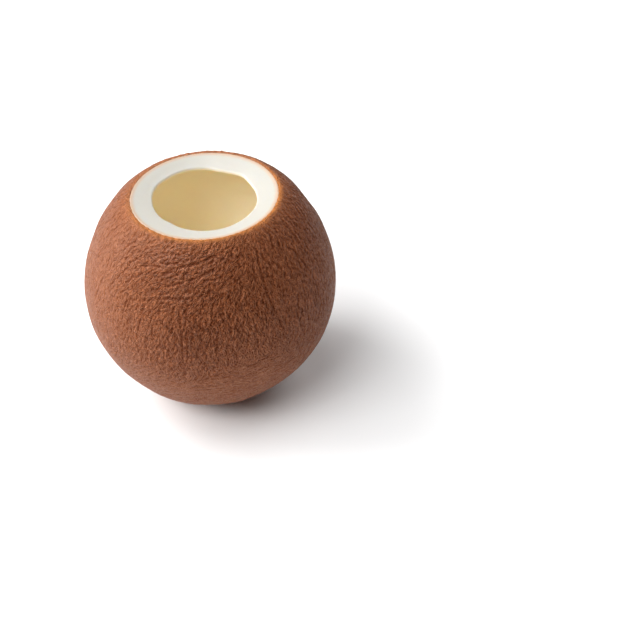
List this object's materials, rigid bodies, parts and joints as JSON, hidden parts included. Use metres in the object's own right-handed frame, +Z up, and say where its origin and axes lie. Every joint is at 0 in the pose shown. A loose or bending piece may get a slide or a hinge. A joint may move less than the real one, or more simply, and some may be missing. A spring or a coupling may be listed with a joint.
{
  "type": "chocolate coconut ball",
  "caption": "Hollow chocolate ball: a thin crinkled brown coat round a thick cream-coloured lining, cut across at the top so that a pale rim rings an open mouth.",
  "frame": {"origin": "centre of the ball's round plan at the level of its flat rest spot", "axes": "+Z up out of the mouth; -Y towards the side that the picture shows; +X to the right there"},
  "size_m": [0.032, 0.0321, 0.0292],
  "materials": {
    "milk_chocolate": "matt, finely crinkled",
    "white_chocolate": "satin, smooth"
  },
  "bodies": {
    "root": {"milk_chocolate_coat": "milk_chocolate", "white_chocolate_shell": "white_chocolate"}
  },
  "joints": []
}
